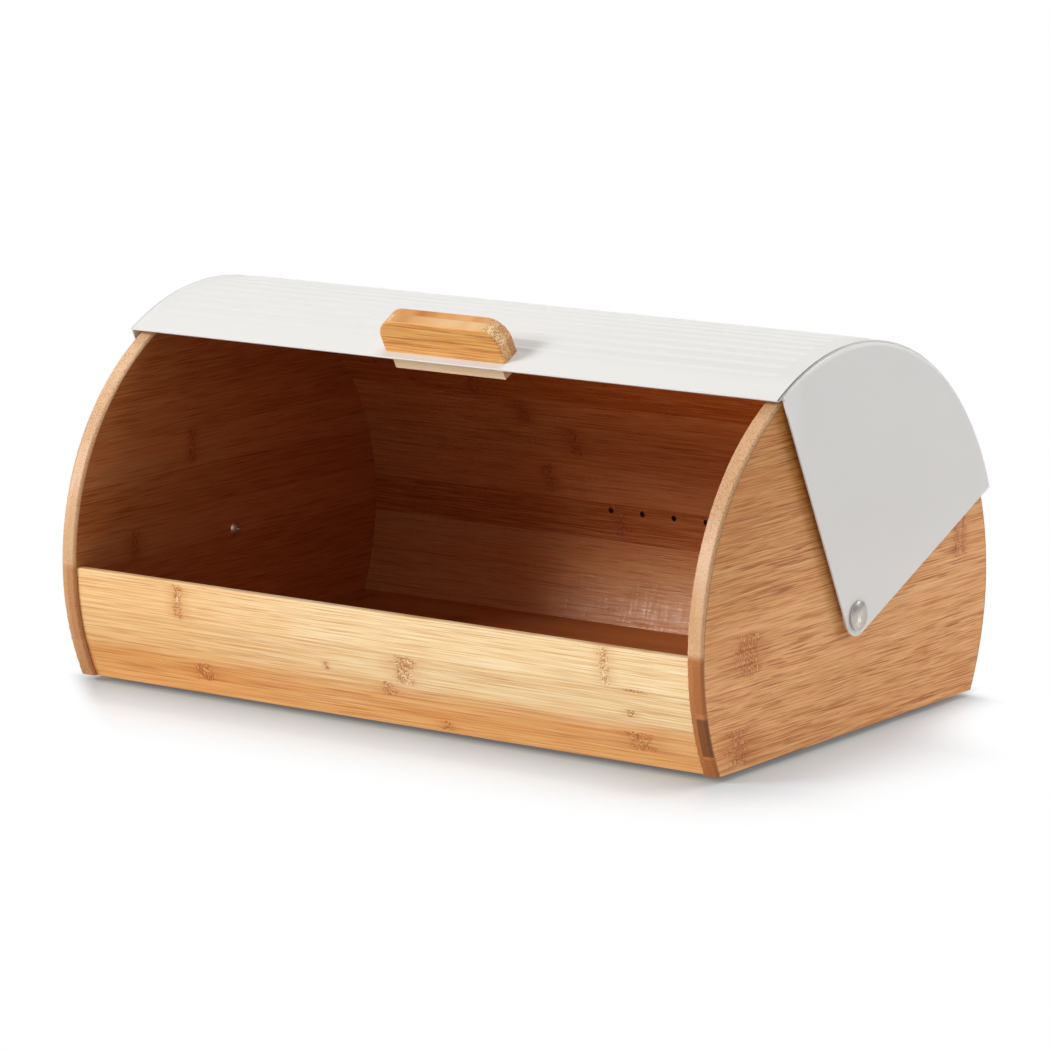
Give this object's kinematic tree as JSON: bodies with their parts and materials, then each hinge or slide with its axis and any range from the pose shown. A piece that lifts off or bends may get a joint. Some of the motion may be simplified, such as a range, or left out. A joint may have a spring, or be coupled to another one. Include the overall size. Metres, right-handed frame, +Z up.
{
  "type": "bread box",
  "caption": "Roll-top bread box: round bamboo side panels, bent bamboo sheets and a beaded sheet-steel lid that swings back over the case on side pivots.",
  "frame": {"origin": "middle of the bread box on the surface that its pads stand on", "axes": "+X to the right along the width, +Y to the back, +Z up; the opening faces -Y"},
  "size_m": [0.4024, 0.257, 0.199],
  "materials": {
    "bamboo_panel": "laminated bamboo, satin clear lacquer, grain front to back",
    "bamboo_front": "bent bamboo sheet, satin clear lacquer, grain along the width",
    "bamboo_sheet": "bent bamboo sheet, satin clear lacquer, grain along the width",
    "bamboo_handle": "laminated bamboo, satin clear lacquer",
    "dowel_wood": "plain beech",
    "painted_lid": "warm white powder coat, satin",
    "satin_steel": "satin stainless steel",
    "washer_plastic": "natural nylon",
    "foot_rubber": "matte black"
  },
  "bodies": {
    "case": {"side_panel_left": "bamboo_panel", "side_panel_right": "bamboo_panel", "front_sheet": "bamboo_front", "back_sheet": "bamboo_sheet", "floor_board": "bamboo_sheet", "floor_dowels_left": "dowel_wood", "floor_dowels_right": "dowel_wood", "pivot_barrel_left": "satin_steel", "pivot_barrel_right": "satin_steel", "pivot_washer_left": "washer_plastic", "pivot_washer_right": "washer_plastic", "pivot_screw_left": "satin_steel", "pivot_screw_right": "satin_steel", "foot_front_left": "foot_rubber", "foot_front_right": "foot_rubber", "foot_rear_left": "foot_rubber", "foot_rear_right": "foot_rubber"},
    "lid": {"lid_top": "painted_lid", "lid_flank_left": "painted_lid", "lid_flank_right": "painted_lid", "handle_grip": "bamboo_handle", "handle_strip": "bamboo_sheet", "handle_screws": "satin_steel"}
  },
  "joints": [
    {"name": "lid_swing", "type": "hinge", "parent": "case", "child": "lid", "pos_m": [0, 0, 0.061], "axis": [1, 0, 0], "range_deg": [0, 60.8]}
  ]
}
